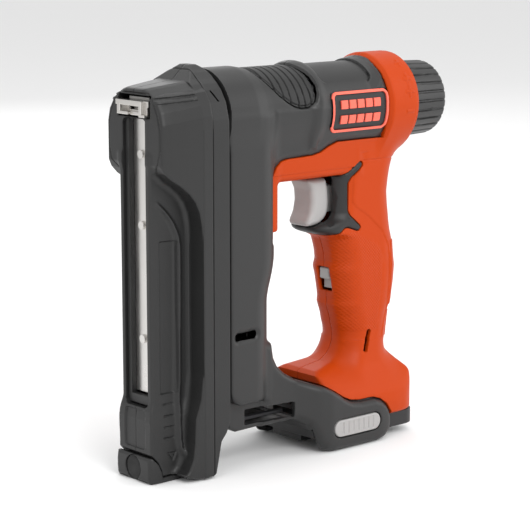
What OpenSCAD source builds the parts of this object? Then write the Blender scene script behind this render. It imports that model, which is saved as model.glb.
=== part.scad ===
// Cordless staple gun: upright magazine at the front, spring driver in the barrel, motor in the column.
// X runs from the nose at the front to the knob at the rear, Y across the tool, Z up from the ground.

/* [Overall] */
// Length from the front tab to the end of the knob
overall_length = 228.6; // [200:1:260]
// Height of the barrel's axis above the ground
barrel_z = 204; // [190:1:215]
// Wall thickness of the plastic shells
wall = 2.5; // [2:0.1:4]
// Gap between two shells that meet
seam = 0.1; // [0.05:0.05:0.3]

/* [Barrel] */
// Outer radius of the barrel
barrel_r = 25.7; // [22:0.1:30]
// Outer radius of the barrel's front section
front_r = 27.6; // [24:0.1:32]
// Outer radius of the raised collars
collar_r = 28.5; // [26:0.1:32]
// Outer radius of the orange rear ring
ring_r = 30.4; // [28:0.1:34]
// Radius of the adjusting knob
knob_r = 23.8; // [20:0.1:27]
// Grip grooves round the knob
knob_grooves = 26; // [12:1:40]

/* [Column and front module] */
// Half width of the motor column
column_half = 26.6; // [22:0.1:30]
// Half width of the front module
module_half = 28.5; // [24:0.1:32]
// Half width of the open channel down the front
channel_half = 10.5; // [9:0.1:12]
// Bottom of the front channel
channel_bottom = 43; // [35:1:55]

/* [Grip and foot] */
// Half width of the grip
grip_half = 19; // [17:0.1:22]
// Half width of the foot's side cheeks
foot_half = 34.5; // [30:0.1:38]
// Underside of the base plate
plate_z = 5; // [4:0.1:8]

/* [Moving parts] */
// Travel of the hammer and driver blade
stroke = 16; // [12:0.5:16]
// Pitch radius of the lifter gear
lifter_r = 11; // [9:0.5:12]
// Teeth of the crown ring on the lifter
crown_teeth = 30; // [24:2:36]
// Teeth of the motor's output pinion
pinion_teeth = 10; // [8:1:12]
// Radial running clearance of shafts
running = 0.05; // [0.02:0.01:0.1]
// Height of the pusher block
pusher_height = 14; // [10:1:20]

/* [Hidden] */
$fn = 64;
mid_x = overall_length / 2;
ring_x = 173.5;
knob_x = 198.1;
column_back = 90.4;
column_round = 19;
module_back = 49.5;
cover_back = 37;
lifter_x = 71;
lifter_z = barrel_z - 34;
blade_z = 211;
tooth_pitch = 2 * PI * lifter_r / 11;

// ---- helpers ----
module placed() {
    translate([-mid_x, 0, 0]) children();
}
module box(x0, x1, y0, y1, z0, z1) {
    translate([x0, y0, z0]) cube([x1 - x0, y1 - y0, z1 - z0]);
}
module cyl_x(x0, x1, r, y = 0, z = barrel_z) {
    translate([x0, y, z]) rotate([0, 90, 0]) cylinder(h = x1 - x0, r = r);
}
module cone_x(x0, x1, ra, rb, z = barrel_z) {
    translate([x0, 0, z]) rotate([0, 90, 0]) cylinder(h = x1 - x0, r1 = ra, r2 = rb);
}
module cyl_y(y0, y1, r, x, z) {
    translate([x, y1, z]) rotate([90, 0, 0]) cylinder(h = y1 - y0, r = r);
}
module cyl_z(z0, z1, r, x, y = 0) {
    translate([x, y, z0]) cylinder(h = z1 - z0, r = r);
}
module side_cut(points, half) {
    translate([0, half, 0]) rotate([90, 0, 0]) linear_extrude(2 * half) polygon(points);
}
module front_cut(points, x0, x1) {
    translate([x0, 0, 0]) rotate([90, 0, 90]) linear_extrude(x1 - x0) polygon(points);
}
module half_space(side) {
    if (side < 0) box(-5, 240, -60, -seam / 2, -5, 260);
    if (side > 0) box(-5, 240, seam / 2, 60, -5, 260);
}
// a flat-wire coil standing on the origin
module coil(length, turns, radius, wire, thick) {
    sweep = 360 * thick * turns / (length - thick);
    outer = [for (i = [0 : 2]) (radius + wire / 2) * [cos(sweep * i / 2), sin(sweep * i / 2)]];
    inner = [for (i = [2 : -1 : 0]) (radius - wire / 2) * [cos(sweep * i / 2), sin(sweep * i / 2)]];
    linear_extrude(height = length - thick, twist = -360 * turns, slices = turns * 12, convexity = 6, $fn = 6)
        polygon(concat(outer, inner));
}
module column_section(grow, back) {
    translate([50.5 - grow, -column_half - grow]) square([71.4 - 50.5 + grow, 2 * column_half + 2 * grow]);
    translate([71.4, column_half - column_round]) circle(r = column_round + back);
    translate([71.4, -column_half + column_round]) circle(r = column_round + back);
    translate([60, -column_half + column_round])
        square([11.4 + column_round + back, 2 * (column_half - column_round)]);
}

// ---- dark body: barrel, column, bridge and cheeks ----
module barrel_outer() {
    cyl_x(50.5, ring_x - seam, barrel_r);
    cyl_x(50.5, 73, front_r);
    cone_x(73, 81, front_r, barrel_r);
    cone_x(114, 119, barrel_r, collar_r);
    cyl_x(119, 127, collar_r);
    cone_x(127, 133, collar_r, barrel_r);
    cone_x(158, 163, barrel_r, collar_r);
    cyl_x(163, ring_x - seam, collar_r);
}
module skirt_outer() {
    front_cut([[-barrel_r, barrel_z], [-20.5, 183], [-20.3, 178], [20.3, 178], [20.5, 183], [barrel_r, barrel_z]], 80,
        ring_x - seam);
}
// region of the side view that belongs to the dark body
module dark_region() {
    side_cut([[50, -1], [50, 240], [180, 240], [180, 184], [138, 184], [122, 178], [92, 178], [90.5, 174],
        [90.5, 66], [93, 57], [100, 49.5], [110, 44], [124.8, 38.8], [132, 34], [139, 29.5], [148, 27.6],
        [160, 27.6], [168.8, 23.8], [174.5, 18], [176.4, 14.2], [176.4, -1]], 60);
}
module bridge_outer() {
    intersection() {
        side_cut([[80, 66], [90.4, 66], [93, 57], [100, 49.5], [110, 44], [124.8, 38.8], [132, 34],
            [139, 29.5], [148, 27.6], [160, 27.6], [168.8, 23.8], [174.5, 18], [176.4, 14.2],
            [174, 8], [168, 2], [162, 0], [126, 0], [118, 3], [113, 9], [110, 19], [96, 23], [80, 25]], 60);
        translate([0, 0, -1]) linear_extrude(90)
            polygon([[78, -24], [98, -24.5], [108, -28], [117, -33.5], [123, -foot_half], [164, -foot_half],
                [172, -33], [176.4, -30], [176.4, 30], [172, 33], [164, foot_half], [123, foot_half],
                [117, 33.5], [108, 28], [98, 24.5], [78, 24]]);
    }
}
module body_solid() {
    barrel_outer();
    skirt_outer();
    intersection() {
        translate([0, 0, 38]) linear_extrude(barrel_z - 38) column_section(0, 0);
        side_cut([[50, 44], [56.5, 38], [100, 38], [100, 240], [50, 240]], 60);
    }
    // narrower tray below the column
    intersection() {
        box(52, 96, -20, 20, 21, 40);
        side_cut([[52, 40], [52, 28], [60, 21], [96, 21], [96, 40]], 60);
    }
    bridge_outer();
}
module body_hollow() {
    cyl_x(50.5 + wall, ring_x + 1, barrel_r - wall);
    front_cut([[-20.5, barrel_z], [-17.5, 184], [-17.2, 170], [17.2, 170], [17.5, 184], [20.5, barrel_z]], 87,
        ring_x + 1);
    translate([0, 0, 41]) linear_extrude(barrel_z - 41) intersection() {
        column_section(-wall, -wall);
        translate([50.5 + wall, -60]) square([60, 120]);
    }
    // bridge and foot
    side_cut([[82, 40], [100, 40], [124, 33], [124, -2], [113, -2], [113, 22.5], [98, 25.5], [82, 27.5]], 20.5);
    side_cut([[112, -2], [112, 40], [178, 40], [178, -2]], 28.3);
    // hex key tray, open at the sides
    box(66, 101, -30, 30, 24, 34);
    // slot for the driver blade
    box(49, 54, -8, 8, 205, 217.5);
    box(49, 54, -6, 6, 178, 206);
}
module body_slots() {
    // cooling slots on both sides and louvres on the rounded rear face
    for (s = [-1, 1]) {
        translate([0, s * column_half, 0]) {
            box(58, 69, -4, 4, 81.5, 84.5);
            cyl_y(-4, 4, 1.5, 58, 83);
            cyl_y(-4, 4, 1.5, 69, 83);
        }
    }
    for (i = [0 : 5]) box(85, 93, -9, 9, 66 + 4.5 * i, 68 + 4.5 * i);
    // recess for the pad on top of the barrel
    intersection() {
        difference() {
            cyl_x(83, 114, 40);
            cyl_x(82, 115, barrel_r - 1);
        }
        box(83, 114, -23, 23, 215, 240);
    }
    // recess for the badge
    box(129.9, 172.8, -40, -23.6, 190.9, 214.1);
    // release button openings
    for (s = [-1, 1]) translate([0, s * 31, 0]) {
        box(129.9, 157.9, -5, 5, 8.2, 19.2);
        cyl_y(-5, 5, 5.5, 130.1, 13.7);
        cyl_y(-5, 5, 5.5, 157.7, 13.7);
    }
}
module body_boss(side) {
    if (side > 0) {
        cyl_y(12, 25, 4.2, 60, 54);
        cyl_y(12, 20, 4, 102, 187);
        cyl_y(12, 20, 4, 150, 188);
    }
}
module body_shell(side) {
    color([0.29, 0.29, 0.29])
        placed() difference() {
            intersection() {
                union() {
                    difference() {
                        body_solid();
                        body_hollow();
                    }
                    body_boss(side);
                }
                dark_region();
                half_space(side);
            }
            body_slots();
            screw_holes();
        }
}
module body_shell_left() {
    body_shell(-1);
}
module body_shell_right() {
    body_shell(1);
}

// ---- orange handle: rear ring, grip and upper foot ----
module grip_slice(z, front, back, half, round) {
    for (x = [front + round, back - round], y = [half - round, round - half])
        translate([x, y, z]) cylinder(h = 0.2, r = round, $fn = 32);
}
module grip_outer() {
    hull() {
        grip_slice(182, 153, 194, 19.6, 14);
        grip_slice(140, 149.5, 190.7, 19.2, 15);
    }
    hull() {
        grip_slice(140, 149.5, 190.7, 19.2, 15);
        grip_slice(125, 143, 193, grip_half, 16);
    }
    hull() {
        grip_slice(125, 143, 193, grip_half, 16);
        grip_slice(106, 146, 196, grip_half, 16);
    }
    hull() {
        grip_slice(106, 146, 196, grip_half, 16);
        grip_slice(84, 149, 194, 18.6, 16);
    }
    hull() {
        grip_slice(84, 149, 194, 18.6, 16);
        grip_slice(60, 153.3, 189.5, 18.6, 16);
    }
    hull() {
        grip_slice(60, 153.3, 189.5, 18.6, 16);
        grip_slice(47, 149.5, 190.5, 18.6, 16);
    }
    hull() {
        grip_slice(47, 149.5, 190.5, 18.6, 16);
        grip_slice(41, 146, 192, 20.5, 16);
    }
}
module foot_outer() {
    intersection() {
        side_cut([[125, 39], [125, 43.5], [128, 45.5], [143, 47.8], [151, 51], [186, 52], [190, 48.5], [194.4, 43.5],
            [198.4, 38.5], [200.8, 33], [201.4, 27], [201, 14.2], [176.5, 14.2], [174.6, 18.2], [168.9, 24],
            [160.1, 27.8], [148, 27.8], [139.1, 29.7], [132.1, 34.2]], 60);
        front_cut([[-31.7, 14], [-31.8, 22], [-30.2, 29], [-27.5, 34], [-24, 38], [-19.5, 42], [-14.5, 45], [-9, 48],
            [-4, 53], [4, 53], [9, 48], [14.5, 45], [19.5, 42], [24, 38], [27.5, 34], [30.2, 29], [31.8, 22],
            [31.7, 14]], 120, 210);
        translate([0, 0, 10]) linear_extrude(50)
            polygon([[124.9, -20], [134, -29], [142, -32], [188, -31], [195, -27], [199, -21.5], [201.4, -12],
                [201.4, 12], [199, 21.5], [195, 27], [188, 31], [142, 32], [134, 29], [124.9, 20]]);
    }
}
module foot_hollow() {
    intersection() {
        side_cut([[128, 13], [129, 41], [147, 44], [186, 46], [191, 41.5], [195.5, 36], [198, 30], [198.6, 26],
            [198, 13]], 60);
        front_cut([[-29, 12], [-29, 22], [-27.4, 28], [-24.8, 32.6], [-21.5, 36.4], [-17.2, 40], [-12, 42.6],
            [12, 42.6], [17.2, 40], [21.5, 36.4], [24.8, 32.6], [27.4, 28], [29, 22], [29, 12]], 120, 210);
        translate([0, 0, 10]) linear_extrude(50)
            polygon([[128, -17], [136, -26], [143, -29], [187, -28.2], [193, -24.8], [196.5, -20], [198.8, -11],
                [198.8, 11], [196.5, 20], [193, 24.8], [187, 28.2], [143, 29], [136, 26], [128, 17]]);
    }
}
module ring_outer() {
    cone_x(ring_x, ring_x + 3, collar_r, ring_r);
    cyl_x(ring_x + 3, knob_x - 1.4, ring_r);
    cone_x(knob_x - 1.4, knob_x - 0.1, ring_r, ring_r - 1.2);
}
module bar_outer() {
    front_cut([[-20.5, 184], [-20.5, 178], [-19, 168], [-14, 163], [14, 163], [19, 168], [20.5, 178], [20.5, 184]],
        80, ring_x);
    // strip round the back of the column
    translate([0, 0, 135]) linear_extrude(43) intersection() {
        column_section(0, 5);
        translate([60, -18]) square([60, 36]);
    }
}
module orange_region() {
    // everything the dark body leaves free
    difference() {
        box(80, 215, -60, 60, 10, 240);
        side_cut([[50, 240], [ring_x - seam, 240], [ring_x - seam, 184 - seam], [138, 184 - seam], [122, 178 - seam],
            [50, 178 - seam]], 60);
        translate([0, 0, 30]) linear_extrude(200) column_section(seam, seam);
    }
}
module handle_hollow() {
    // barrel end inside the ring
    cyl_x(ring_x - 1, 194, ring_r - 3.2);
    cyl_x(190, 200, 8.3);
    // over the trigger and into the ring
    box(96, 150, -16.5, 16.5, 166.5, 190);
    box(152, 188.5, -15.4, 15.4, 150, 190);
    // down the grip
    side_cut([[153.5, 151], [154, 140], [149, 126], [151, 106], [154, 84], [158, 60], [155.5, 48], [155.5, 38],
        [186, 38], [185.5, 48], [184.5, 60], [188.8, 84], [191.2, 106], [188.2, 126], [186.5, 140],
        [187, 151]], 12.5);
    side_cut([[160, 151], [158, 106], [163, 60], [163, 46], [179, 46], [181, 60], [188, 106], [185, 126], [184, 140],
        [184.8, 151]], 15.6);
    foot_hollow();
    // trigger, its bezel and the lock switch
    box(120, 157.5, -10.4, 10.4, 132, 163.6);
    box(120, 151, -30, 30, 128.4, 162.9);
    box(138, 153.2, -5.2, 5.2, 90.5, 105.5);
    box(150.2, 156, -4.2, 4.2, 84, 106);
    // cooling slots on both sides of the grip
    for (s = [-1, 1]) translate([170, s * 17, 60]) rotate([0, 17, 0]) box(-1.5, 1.5, -5, 5, -7, 7);
}
module handle_boss(side) {
    if (side > 0) {
        cyl_y(6, 18.5, 4, 174, 112);
        cyl_y(6, 17, 4, 178, 72);
        cyl_y(6, 17, 4, 182, 166);
        cyl_y(12, 26.2, 4, 188, 31);
    }
}
module handle_shell(side) {
    color([0.91, 0.33, 0.12])
        placed() difference() {
            intersection() {
                union() {
                    difference() {
                        union() {
                            grip_outer();
                            foot_outer();
                            ring_outer();
                            bar_outer();
                        }
                        handle_hollow();
                    }
                    intersection() {
                        handle_boss(side);
                        box(100, 210, 0, 30, 20, 200);
                    }
                }
                orange_region();
                half_space(side);
            }
            cyl_x(170, 174, ring_r - 3.2);
            screw_holes();
        }
}
module handle_shell_left() {
    handle_shell(-1);
}
module handle_shell_right() {
    handle_shell(1);
}

// ---- front module ----
module cover_solid() {
    // nose block
    intersection() {
        side_cut([[3.5, 168], [3.5, 222], [6, 223.4], [30, 226], [cover_back - seam, 233], [cover_back - seam, 160],
            [18, 160]], 40);
        front_cut([[-14, 150], [-24, 174], [-26, 182], [-module_half, 190], [-module_half, 206], [-27.5, 209.5],
            [-23.2, 219], [-16.6, 225.8], [-10, 230.5], [-4.5, 235], [4.5, 235], [10, 230.5], [16.6, 225.8],
            [23.2, 219], [27.5, 209.5], [module_half, 206], [module_half, 190], [26, 182], [24, 174],
            [14, 150]], 0, 40);
        translate([0, 0, 100]) linear_extrude(140)
            polygon([[3.5, -22], [6, -24.7], [20, -27], [30, -module_half], [40, -module_half], [40, module_half],
                [30, module_half], [20, 27], [6, 24.7], [3.5, 22]]);
    }
    // narrow magazine column
    intersection() {
        box(3.5, 27, -16, 16, 15.3, 176);
        translate([0, 0, 10]) linear_extrude(190)
            polygon([[3.5, -12.4], [4.9, -13.6], [16, -14.6], [27, -16], [27, 16], [16, 14.6], [4.9, 13.6],
                [3.5, 12.4]]);
    }
    // full-width wall behind it
    intersection() {
        box(26, cover_back - seam, -module_half, module_half, 6, 200);
        front_cut([[-22, 6], [-module_half, 16], [-module_half, 200], [module_half, 200], [module_half, 16],
            [22, 6]], 0, 40);
        linear_extrude(210)
            polygon([[26, -15], [28, -24], [32, -module_half], [40, -module_half], [40, module_half], [32, module_half],
                [28, 24], [26, 15]]);
    }
}
module cover_hollow() {
    // open channel down the front, then the magazine's space behind it
    side_cut([[2, channel_bottom], [2, 206], [9, 206], [9, channel_bottom]], channel_half);
    box(7.5, 24.2, -channel_half, channel_half, 10, 206);
    // pocket for the contact nose and the driver guide
    box(2, 38, -14.4, 14.4, 207.2, 219.4);
    box(7.5, 24.2, -8.2, 8.2, 205, 209);
    // space behind
    box(29, 38, -26, 26, 10, 204);
    // notch that the magazine's end cap closes
    box(20, 33.4, -15.8, 15.8, 0, 15.3);
}
module nose_cover(side) {
    color([0.27, 0.27, 0.27])
        placed() difference() {
            intersection() {
                cover_solid();
                half_space(side);
            }
            cover_hollow();
            // inset panel of the side recess, with its scale lines and pointer
            translate([0, side * 15.6, 0]) {
                box(10, 20.5, -1, 1, 59, 138);
                for (i = [0 : 3]) box(10, 17, -1.2, 1.2, 38 + 6 * i, 39 + 6 * i);
            }
        }
}
module nose_cover_left() {
    nose_cover(-1);
}
module nose_cover_right() {
    nose_cover(1);
}
module module_housing() {
    color([0.27, 0.27, 0.27])
        placed() difference() {
            intersection() {
                side_cut([[cover_back, 6], [cover_back, 233], [40, 234.6], [44, 234.6], [module_back, 228],
                    [module_back, 12], [46, 6]], 40);
                front_cut([[-22, 6], [-module_half, 16], [-module_half, 206], [-27.5, 209.5], [-23.2, 219],
                    [-16.6, 225.8], [-10, 230.5], [-4.5, 235], [4.5, 235], [10, 230.5], [16.6, 225.8], [23.2, 219],
                    [27.5, 209.5], [module_half, 206], [module_half, 16], [22, 6]], 30, 60);
            }
            box(36, 46.8, -26, 26, 10, 204);
            box(36, 39, -14.4, 14.4, 203, 219.4);
            box(36, 51, -8, 8, 205, 217.5);
            // seat for the driver guide
            box(36, 46.2, -9.1, 9.1, 207.3, 218.1);
            screw_holes();
        }
}
module channel_liner() {
    color([0.1, 0.1, 0.1])
        placed() {
            for (s = [-1, 1]) {
                translate([0, s * 8.85, 0]) {
                    box(5.6, 8.9, -1.5, 1.5, 44, 205.8);
                    box(8.9, 10.3, -0.6, 1.5, 44, 50);
                    box(10.3, 23.9, -0.9, 1.5, 44, 205.8);
                }
            }
            box(5.6, 8.9, -9, 9, 44, 49);
        }
}
module guide_strip() {
    color([0.66, 0.65, 0.63])
        placed() difference() {
            box(9, 10.2, -7.2, 7.2, 50.2, 205.8);
            for (z = [81, 146, 186]) cyl_x(8, 11, 1.3, 0, z);
            // notch in one edge
            box(8, 11, -8, -5.6, 84, 91);
        }
}
module strip_rivets() {
    color([0.75, 0.74, 0.72])
        placed() for (z = [81, 146, 186]) {
            cyl_x(7.6, 8.95, 2.4, 0, z);
            cyl_x(8.9, 10.2, 1.3 - running / 2, 0, z);
        }
}
module contact_nose() {
    color([0.78, 0.77, 0.76])
        placed() difference() {
            union() {
                box(0.5, 2.9, -14, 14, 209, 218.4);
                box(0.5, 4.5, -14, -10.6, 208, 216);
                box(0.5, 4.5, 10.6, 14, 208, 216);
                for (s = [-1, 1]) translate([0, s * 12.4, 0]) box(2.8, 30, -1.2, 1.2, 213, 217);
            }
            // staple exit
            box(0, 6, -6.2, 6.2, 209.9, 212.1);
            box(-1, 1.7, -8, 8, 214.5, 219);
        }
}
module contact_springs() {
    color([0.7, 0.7, 0.7])
        placed() for (s = [-1, 1])
            translate([30.2, s * 12.4, 215]) rotate([0, 90, 0]) coil(8, 4, 1.5, 0.5, 0.7);
}
module driver_guide() {
    color([0.6, 0.6, 0.6])
        placed() difference() {
            box(7.7, 46, -9, 9, 207.4, 218);
            box(7, 47, -5.6, 5.6, blade_z - 0.9, blade_z + 0.9);
            box(7, 23.8, -6, 6, 206, blade_z + 0.9);
            box(30, 47, -10, 10, 214, 219);
        }
}

// ---- magazine that slides down out of the module ----
module magazine_rail() {
    color([0.62, 0.62, 0.6])
        placed() difference() {
            box(10.7, 22, -7.3, 7.3, 17, 205.4);
            box(10, 20.6, -6.1, 6.1, 30, 206);
            box(10, 12.2, -5, 5, 22, 31);
        }
}
module magazine_end_cap() {
    color([0.25, 0.25, 0.25])
        placed() difference() {
            union() {
                intersection() {
                    side_cut([[0, 2.4], [0, 13], [2.4, 15], [26, 15], [33, 9.5], [33, 0], [2.4, 0]], 40);
                    translate([0, 0, -1]) linear_extrude(20)
                        polygon([[0, -9], [3.6, -13.4], [8, -15.5], [33, -15.5], [33, 15.5], [8, 15.5], [3.6, 13.4],
                            [0, 9]]);
                }
                box(10.9, 24, -9.8, 9.8, 14, 17);
            }
            cyl_x(-1, 8.3, 7.1, 0, 7.6);
        }
}
module magazine_latch() {
    color([0.22, 0.22, 0.22])
        placed() difference() {
            cyl_x(0.6, 6, 7, 0, 7.6);
            translate([-13.2, 0, 7.6]) sphere(r = 15);
        }
}
module pusher() {
    color([0.15, 0.15, 0.15])
        placed() difference() {
            box(11.2, 20.4, -5.9, 5.9, 205 - pusher_height, 205);
            box(13, 18.6, -3, 3, 190, 202);
        }
}
module pusher_spring() {
    color([0.7, 0.7, 0.7])
        placed() translate([15.9, 0, 30.4]) coil(160.2, 18, 3.6, 0.9, 1.2);
}

// ---- driver ----
module rack_tooth(x) {
    side_cut([[x - 1.9, 183.4], [x - 0.7, 179.3], [x + 0.7, 179.3], [x + 1.9, 183.4]], 4);
}
module hammer() {
    color([0.55, 0.55, 0.55])
        placed() difference() {
            union() {
                cyl_x(57.2, 83.6, 11);
                cyl_x(83.5, 112, 10);
                // the front flange strikes the bumper and the rear one carries the mainspring
                cyl_x(57.2, 62, 18);
                cyl_x(79, 83.6, 18);
                cyl_x(112, 150, 5);
                box(53.4, 78, -4, 4, 183.3, 196);
                for (i = [0 : 3]) rack_tooth(lifter_x + tooth_pitch * (0.5 - i));
            }
            box(56, 84.2, -5.25, 5.25, blade_z - 0.65, blade_z + 0.65);
        }
}
module driver_blade() {
    color([0.72, 0.72, 0.74])
        placed() box(8, 84, -5.2, 5.2, blade_z - 0.6, blade_z + 0.6);
}
module mainspring() {
    color([0.5, 0.5, 0.52])
        placed() translate([83.8, 0, barrel_z]) rotate([0, 90, 0]) coil(86, 11, 15.4, 3.4, 3.2);
}
module bumper() {
    color([0.08, 0.08, 0.08])
        placed() difference() {
            cyl_x(53.1, 57, 20);
            cyl_x(52, 58, 12.2);
            box(52, 58, -6.5, 6.5, 180, 205);
        }
}
module spring_seat() {
    color([0.6, 0.6, 0.58])
        placed() difference() {
            union() {
                cyl_x(170, 173, 20.5);
                cyl_x(173, 182, 9.5);
                cyl_x(168, 170, 12.5);
            }
            cyl_x(172, 183, 6.5 + running);
        }
}
module depth_knob() {
    color([0.18, 0.18, 0.18])
        placed() difference() {
            union() {
                cone_x(knob_x, overall_length - 1.5, knob_r, knob_r - 1);
                cone_x(overall_length - 1.5, overall_length, knob_r - 1, knob_r - 2.6);
                cyl_x(189, knob_x + 1, 8);
                cyl_x(177, 190, 6.5);
            }
            for (i = [0 : knob_grooves - 1])
                translate([0, 0, barrel_z]) rotate([360 / knob_grooves * i, 0, 0])
                    translate([202, 0, knob_r]) rotate([0, 90, 0]) cylinder(h = 40, r = 1.5, $fn = 12);
            cyl_x(206, 240, 17.5);
        }
        placed() difference() {
            cyl_x(205.9, 224, 6);
            cyl_x(208, 225, 3);
        }
}

// ---- drive ----
module lifter_wheel() {
    color([0.5, 0.5, 0.48])
        placed() translate([lifter_x, 0, lifter_z]) difference() {
            union() {
                // gear that lifts the rack
                rotate([90, 0, 0]) translate([0, 0, -4]) linear_extrude(8) {
                    circle(r = 8.6);
                    for (i = [-1 : 4]) rotate(90 + 360 / 11 * i)
                        polygon([[8, -1.9], [12.5, -0.65], [12.5, 0.65], [8, 1.9]]);
                }
                // crown ring with face teeth
                rotate([90, 0, 0]) translate([0, 0, -8.4]) cylinder(h = 2.8, r = 16.2);
                for (i = [0 : crown_teeth - 1]) rotate([0, 360 / crown_teeth * (i + 0.5), 0])
                    box(-0.5, 0.5, 4.1, 5.7, -16, -13.6);
                rotate([90, 0, 0]) translate([0, 0, -14]) cylinder(h = 28, r = 6);
            }
            rotate([90, 0, 0]) translate([0, 0, -20]) cylinder(h = 40, r = 3 + running);
        }
}
module lifter_axle() {
    color([0.7, 0.7, 0.7])
        placed() cyl_y(-18, 18, 3, lifter_x, lifter_z);
}
module gear_frame() {
    color([0.45, 0.45, 0.43])
        placed() difference() {
            union() {
                for (s = [-1, 1]) translate([0, s * 16.5, 0]) box(57, 83, -1.5, 1.5, 145.2, 179);
                box(57, 83, -16, 16, 145.2, 148.2);
            }
            cyl_y(-20, 20, 3 + running / 2, lifter_x, lifter_z);
            cyl_z(140, 150, 4, lifter_x);
        }
}
module motor_can() {
    color([0.6, 0.6, 0.6])
        placed() difference() {
            union() {
                cyl_z(78, 128, 16, lifter_x);
                cyl_z(72, 78, 8, lifter_x);
            }
            for (s = [-1, 1]) translate([lifter_x, s * 14.5, 0]) box(-4, 4, -3, 3, 84, 92);
        }
}
module gearbox_can() {
    color([0.35, 0.35, 0.35])
        placed() difference() {
            union() {
                cyl_z(128.1, 140, 15.5, lifter_x);
                cyl_z(140, 145.1, 10, lifter_x);
            }
            cyl_z(134, 146, 2.5 + running, lifter_x);
        }
}
module drive_pinion() {
    color([0.75, 0.72, 0.6])
        placed() translate([lifter_x, 0, 0]) {
            cylinder_at(136, 157, 2.5);
            translate([0, 0, 154]) linear_extrude(2.2) {
                circle(r = 3.6);
                for (i = [0 : pinion_teeth - 1]) rotate(90 + 360 / pinion_teeth * i)
                    translate([3, -0.5]) square([2.5, 1]);
            }
        }
}
module cylinder_at(z0, z1, r) {
    translate([0, 0, z0]) cylinder(h = z1 - z0, r = r);
}

// ---- controls ----
module trigger() {
    color([0.67, 0.67, 0.67])
        placed() difference() {
            union() {
                intersection() {
                    side_cut([[124.5, 161], [127.6, 156], [128.8, 149], [128, 142], [124, 137], [124.6, 134.6],
                        [127, 133.6], [145, 133.4], [145, 161.6], [126, 161.6]], 9.4);
                    translate([0, 0, 120]) linear_extrude(60)
                        polygon([[122, -4], [126, -8], [130, -9.4], [150, -9.4], [150, 9.4], [130, 9.4], [126, 8],
                            [122, 4]]);
                }
                box(144, 151, -5, 5, 140, 156);
            }
            box(135, 152, -3.2, 3.2, 143, 153);
        }
}
module trigger_spring() {
    color([0.7, 0.7, 0.7])
        placed() translate([135.2, 0, 148]) rotate([0, 90, 0]) coil(23.6, 8, 2.3, 0.7, 0.8);
}
module trigger_switch() {
    color([0.2, 0.2, 0.22])
        placed() difference() {
            box(159, 182, -9, 9, 134, 160);
            cyl_x(158, 160.5, 2, 0, 137);
        }
}
module trigger_bezel() {
    color([0.23, 0.23, 0.23])
        placed() difference() {
            intersection() {
                side_cut([[133, 128.6], [128, 131], [126.5, 133], [139.5, 133.2], [139.5, 162.7], [150.8, 162.7],
                    [150.8, 128.6]], 40);
                hull() {
                    grip_slice(163, 141, 197, 20, 15);
                    grip_slice(128, 134, 197, grip_half + 0.2, 16);
                }
                box(120, 150.8, -30, 30, 128.6, 162.7);
            }
            box(120, 160, -9.8, 9.8, 133, 163);
        }
}
module lock_switch() {
    color([0.74, 0.74, 0.74])
        placed() {
            box(147.6, 150.6, -4.4, 4.4, 98, 105);
            box(150.4, 153, -3.6, 3.6, 92, 105.2);
        }
}

// ---- trim ----
module barrel_pad() {
    color([0.24, 0.24, 0.24])
        placed() difference() {
            intersection() {
                difference() {
                    cyl_x(83.1, 113.9, barrel_r + 1);
                    cyl_x(83, 114, barrel_r - 0.9);
                    for (i = [0 : 6]) difference() {
                        cyl_x(85.6 + 3.9 * i, 87.4 + 3.9 * i, barrel_r + 3);
                        cyl_x(85 + 3.9 * i, 88 + 3.9 * i, barrel_r + 0.1);
                    }
                }
                box(83.1, 113.9, -22.9, 22.9, 215.1, 240);
            }
        }
}
module badge_plate() {
    color([0.1, 0.1, 0.1])
        placed() box(130, 172.7, -26.8, -24, 191, 214);
}
module badge_frame() {
    color([0.94, 0.44, 0.36])
        placed() difference() {
            box(130.6, 172.1, -28, -26.9, 191.6, 213.4);
            box(132.4, 170.3, -29, -26, 193.4, 211.6);
        }
}

// ---- foot ----
module base_plate() {
    color([0.13, 0.13, 0.13])
        placed() difference() {
            intersection() {
                union() {
                    box(113, 200, -28, 28, 9, 14);
                    box(128, 200, -28, -22, plate_z, 9.5);
                    box(128, 200, 22, 28, plate_z, 9.5);
                }
                linear_extrude(20) polygon([[113, -28], [186, -28], [194, -25.5], [198, -21], [200, -13], [200, 13],
                    [198, 21], [194, 25.5], [186, 28], [113, 28]]);
            }
            // grooves that guide the battery's rails
            box(127, 205, -25.5, -21, 7, 9);
            box(127, 205, 21, 25.5, 7, 9);
            box(116.9, 125.1, -13, 13, 8, 15);
        }
}
module terminal_block() {
    color([0.16, 0.16, 0.17])
        placed() difference() {
            box(117, 125, -12.9, 12.9, 4, 22);
            for (y = [-8, 0, 8]) box(120, 126, y - 0.45, y + 0.45, 5.5, 13.5);
        }
}
module battery_terminals() {
    color([0.85, 0.7, 0.35])
        placed() for (y = [-8, 0, 8]) box(120.1, 133, y - 0.4, y + 0.4, 5.7, 8.6);
}
module release_button(side) {
    color([0.75, 0.75, 0.75])
        placed() {
            translate([0, side * 33, 0]) difference() {
                union() {
                    box(130.2, 157.6, -2.2, 2.2, 8.5, 18.9);
                    cyl_y(-2.2, 2.2, 5.2, 130.2, 13.7);
                    cyl_y(-2.2, 2.2, 5.2, 157.6, 13.7);
                }
                for (i = [0 : 7]) translate([0, side * 2.2, 0])
                    box(129.4 + 4.1 * i, 130.2 + 4.1 * i, -0.6, 0.6, 10, 17.4);
            }
        }
}
module release_button_left() {
    release_button(-1);
}
module release_button_right() {
    release_button(1);
}
module circuit_board() {
    color([0.1, 0.35, 0.2])
        placed() {
            box(134, 178, -16, 16, 37.2, 38.8);
            box(142, 152, -8, 8, 38.7, 42.4);
            cyl_z(38.7, 42.4, 4, 166, 8);
            cyl_z(38.7, 42.4, 4, 166, -8);
        }
}
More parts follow.
